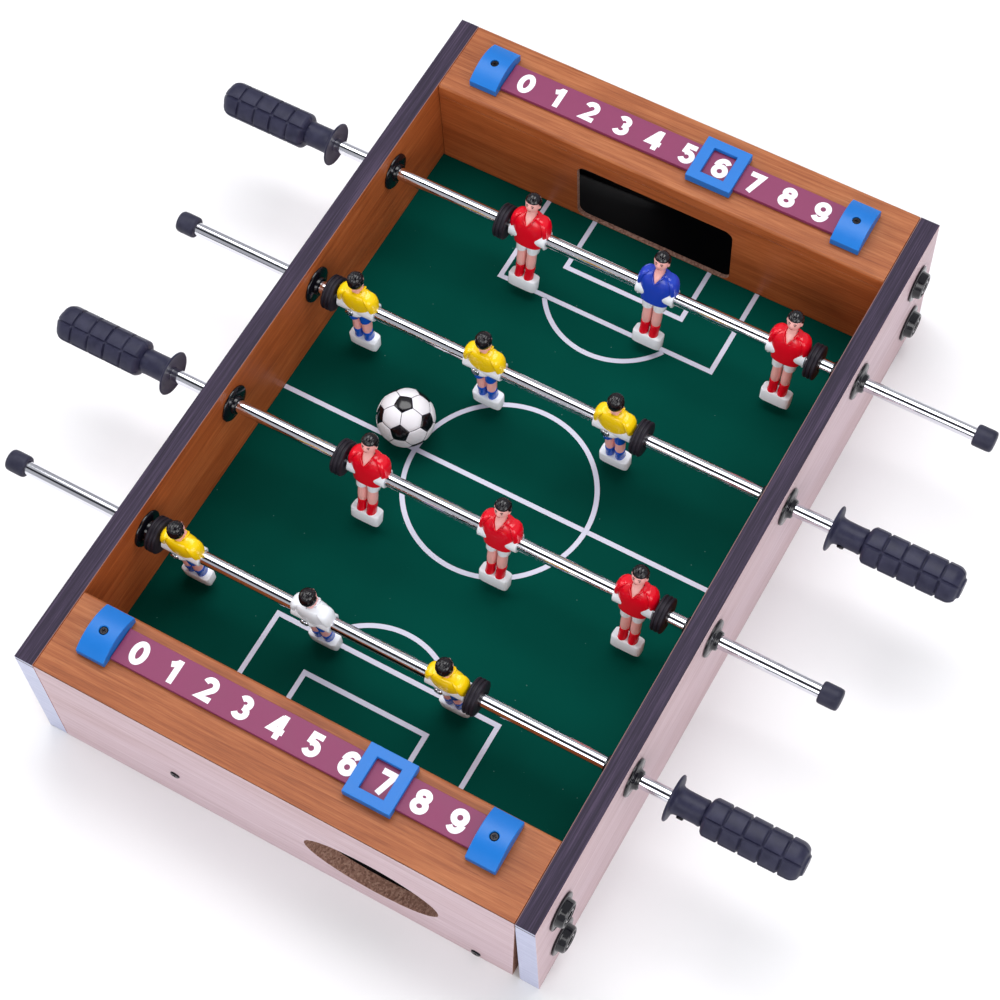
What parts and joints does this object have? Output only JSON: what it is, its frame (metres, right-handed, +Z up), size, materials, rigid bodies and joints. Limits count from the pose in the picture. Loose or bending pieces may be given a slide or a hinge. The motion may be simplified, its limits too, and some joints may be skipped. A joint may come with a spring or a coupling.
{
  "type": "foosball table",
  "caption": "Tabletop football game: open wooden case with a green pitch, sliding and spinning rods of players, score counters and a ball.",
  "frame": {"origin": "on the surface the table stands on, under the middle of the case", "axes": "+X to the right, +Y towards the far goal, +Z up"},
  "size_m": [0.534, 0.484, 0.1091],
  "materials": {
    "board_wood": "satin",
    "orange_wood": "satin",
    "white_laminate": "satin",
    "printed_pitch": "satin",
    "black_plastic": "gloss",
    "black_rubber": "matt",
    "chrome": "polished",
    "plum_plastic": "satin",
    "blue_plastic": "gloss",
    "white_plastic": "gloss",
    "red_player": "gloss",
    "blue_shirt_player": "gloss",
    "yellow_player": "gloss",
    "white_shirt_player": "gloss"
  },
  "bodies": {
    "table": {"left_side_board": "board_wood", "right_side_board": "board_wood", "pitch_board": "printed_pitch", "far_top_board": "orange_wood", "far_outer_panel": "white_laminate", "far_goal_panel": "orange_wood", "far_ball_tray": "black_plastic", "far_score_strip": "plum_plastic", "far_score_block_left": "blue_plastic", "far_score_block_right": "blue_plastic", "near_top_board": "orange_wood", "near_outer_panel": "white_laminate", "near_goal_panel": "orange_wood", "near_ball_tray": "black_plastic", "near_score_strip": "plum_plastic", "near_score_block_left": "blue_plastic", "near_score_block_right": "blue_plastic", "red_keeper_bushing_left": "black_plastic", "red_keeper_bushing_right": "black_plastic", "yellow_forward_bushing_left": "black_plastic", "yellow_forward_bushing_right": "black_plastic", "red_forward_bushing_left": "black_plastic", "red_forward_bushing_right": "black_plastic", "yellow_keeper_bushing_left": "black_plastic", "yellow_keeper_bushing_right": "black_plastic"},
    "red_keeper_slide_body": {"red_keeper_bumper_left": "black_rubber", "red_keeper_bumper_right": "black_rubber"},
    "red_keeper_rod_body": {"red_keeper_rod": "chrome", "red_keeper_handle": "black_rubber", "red_keeper_end_cap": "black_rubber", "red_defender_left": "red_player", "red_goalkeeper": "blue_shirt_player", "red_defender_right": "red_player"},
    "yellow_forward_slide_body": {"yellow_forward_bumper_left": "black_rubber", "yellow_forward_bumper_right": "black_rubber"},
    "yellow_forward_rod_body": {"yellow_forward_rod": "chrome", "yellow_forward_handle": "black_rubber", "yellow_forward_end_cap": "black_rubber", "yellow_forward_left": "yellow_player", "yellow_forward_middle": "yellow_player", "yellow_forward_right": "yellow_player"},
    "red_forward_slide_body": {"red_forward_bumper_left": "black_rubber", "red_forward_bumper_right": "black_rubber"},
    "red_forward_rod_body": {"red_forward_rod": "chrome", "red_forward_handle": "black_rubber", "red_forward_end_cap": "black_rubber", "red_forward_left": "red_player", "red_forward_middle": "red_player", "red_forward_right": "red_player"},
    "yellow_keeper_slide_body": {"yellow_keeper_bumper_left": "black_rubber", "yellow_keeper_bumper_right": "black_rubber"},
    "yellow_keeper_rod_body": {"yellow_keeper_rod": "chrome", "yellow_keeper_handle": "black_rubber", "yellow_keeper_end_cap": "black_rubber", "yellow_defender_left": "yellow_player", "yellow_goalkeeper": "white_shirt_player", "yellow_defender_right": "yellow_player"},
    "far_counter": {"far_score_slider": "blue_plastic"},
    "near_counter": {"near_score_slider": "blue_plastic"},
    "ball": {"ball": "white_plastic"}
  },
  "joints": [
    {"name": "red_keeper_slide", "type": "slide", "parent": "table", "child": "red_keeper_slide_body", "axis": [1, 0, 0], "range_m": [-0.0675, 0.0075]},
    {"name": "red_keeper_spin", "type": "hinge", "parent": "red_keeper_slide_body", "child": "red_keeper_rod_body", "pos_m": [0, 0.1368, 0.0778], "axis": [1, 0, 0], "continuous": true},
    {"name": "yellow_forward_slide", "type": "slide", "parent": "table", "child": "yellow_forward_slide_body", "axis": [1, 0, 0], "range_m": [-0.0049, 0.0657]},
    {"name": "yellow_forward_spin", "type": "hinge", "parent": "yellow_forward_slide_body", "child": "yellow_forward_rod_body", "pos_m": [0, 0.0456, 0.0778], "axis": [1, 0, 0], "continuous": true},
    {"name": "red_forward_slide", "type": "slide", "parent": "table", "child": "red_forward_slide_body", "axis": [1, 0, 0], "range_m": [-0.0599, 0.0099]},
    {"name": "red_forward_spin", "type": "hinge", "parent": "red_forward_slide_body", "child": "red_forward_rod_body", "pos_m": [0, -0.0456, 0.0778], "axis": [1, 0, 0], "continuous": true},
    {"name": "yellow_keeper_slide", "type": "slide", "parent": "table", "child": "yellow_keeper_slide_body", "axis": [1, 0, 0], "range_m": [-0.0009, 0.063]},
    {"name": "yellow_keeper_spin", "type": "hinge", "parent": "yellow_keeper_slide_body", "child": "yellow_keeper_rod_body", "pos_m": [0, -0.1368, 0.0778], "axis": [1, 0, 0], "continuous": true},
    {"name": "far_counter_slide", "type": "slide", "parent": "table", "child": "far_counter", "axis": [1, 0, 0], "range_m": [-0.1275, 0.0649]},
    {"name": "near_counter_slide", "type": "slide", "parent": "table", "child": "near_counter", "axis": [1, 0, 0], "range_m": [-0.1482, 0.0442]},
    {"name": "ball_lift", "type": "slide", "parent": "table", "child": "ball", "axis": [0, 0, 1], "range_m": [0, 0.12]}
  ]
}
